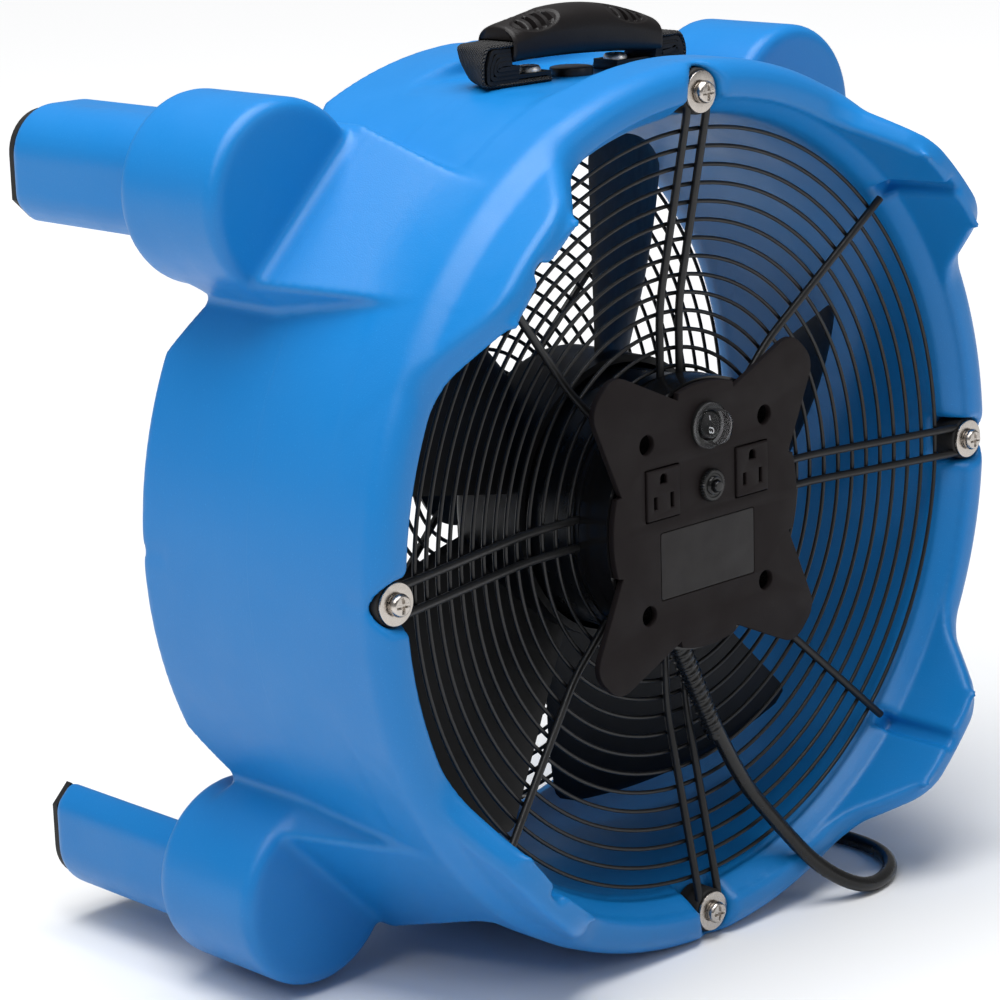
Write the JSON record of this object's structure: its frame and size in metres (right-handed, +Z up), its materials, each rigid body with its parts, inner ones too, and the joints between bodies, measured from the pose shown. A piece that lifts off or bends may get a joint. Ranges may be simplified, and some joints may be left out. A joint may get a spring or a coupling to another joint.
{
  "type": "axial air mover",
  "caption": "Portable axial fan in a rotomoulded drum with stacking legs, wire guards, control plate with outlets, strap handle and coiled cord.",
  "frame": {"origin": "on the floor under the middle of the machine's bounding box, without the cord", "axes": "+Z up, +Y along the air flow from intake to outlet, +X to the right seen from the intake"},
  "size_m": [0.4878, 0.3462, 0.508],
  "materials": {
    "blue_shell": "rotomoulded polyethylene, satin with fine orange peel",
    "black_wire": "powder coated steel wire",
    "steel": "zinc plated steel",
    "rubber": "black rubber",
    "panel": "fine matte ABS",
    "black_plastic": "black moulded plastic",
    "clear_boot": "clear soft vinyl",
    "fan_plastic": "glass filled nylon",
    "motor_paint": "black enamel",
    "casting": "die cast",
    "lamination": "laminated steel",
    "copper": "enamelled copper",
    "brass": "plain",
    "webbing": "woven nylon webbing",
    "grip": "soft moulded grip",
    "cord": "glossy PVC jacket",
    "label": "blank label film"
  },
  "bodies": {
    "chassis": {"housing": "blue_shell", "housing_crown": "blue_shell", "housing_legs": "blue_shell", "intake_guard_rings": "black_wire", "intake_guard_spokes": "black_wire", "outlet_guard_rings": "black_wire", "outlet_guard_spokes": "black_wire", "outlet_guard_disc": "black_wire", "intake_screws": "steel", "intake_washers": "steel", "intake_spring_washers": "steel", "intake_isolators": "rubber", "outlet_screws": "steel", "outlet_washers": "steel", "outlet_spring_washers": "steel", "outlet_isolators": "rubber", "control_plate": "panel", "control_box": "black_plastic", "plate_screws": "steel", "label_plate": "label", "rocker_bezel": "black_plastic", "rocker_boot": "clear_boot", "breaker_body": "black_plastic", "breaker_nut": "black_plastic", "outlet_left": "panel", "outlet_right": "panel", "outlet_contacts": "brass", "run_capacitor": "black_plastic", "motor_mount": "motor_paint", "motor_lead": "cord", "motor_shell": "motor_paint", "bell_front": "casting", "bell_rear": "casting", "bearing_front": "steel", "bearing_rear": "steel", "stator_core": "lamination", "stator_windings": "copper", "feet": "rubber", "foot_screws": "steel", "strap_ends": "webbing", "strap_folds": "webbing", "strap_brackets": "black_plastic", "bracket_screws": "steel", "vent_plug": "black_plastic", "cord_relief": "cord", "cord_run": "cord", "cord_coil": "cord", "cord_tail": "cord", "plug_body": "cord", "plug_blades": "brass"},
    "fan": {"rotor_core": "lamination", "motor_shaft": "steel", "impeller_hub": "fan_plastic", "fan_blades": "fan_plastic", "hub_washer": "steel", "hub_nut": "steel"},
    "rocker": {"rocker": "black_plastic"},
    "reset_button": {"reset_button": "black_plastic"},
    "handle": {"handle_grip": "grip", "handle_strap": "webbing"}
  },
  "joints": [
    {"name": "fan_spin", "type": "hinge", "parent": "chassis", "child": "fan", "pos_m": [0, -0.068, 0.241], "axis": [0, 1, 0], "continuous": true},
    {"name": "rocker_tilt", "type": "hinge", "parent": "chassis", "child": "rocker", "pos_m": [0, -0.1265, 0.29], "axis": [1, 0, 0], "range_deg": [-24, 0]},
    {"name": "reset_press", "type": "slide", "parent": "chassis", "child": "reset_button", "axis": [0, 1, 0], "range_m": [0, 0.0025], "stiffness_N_per_m": 200},
    {"name": "handle_swing", "type": "hinge", "parent": "chassis", "child": "handle", "pos_m": [0, -0.035, 0.479], "axis": [1, 0, 0], "range_deg": [-10, 10], "stiffness_Nm_per_rad": 0.6}
  ]
}
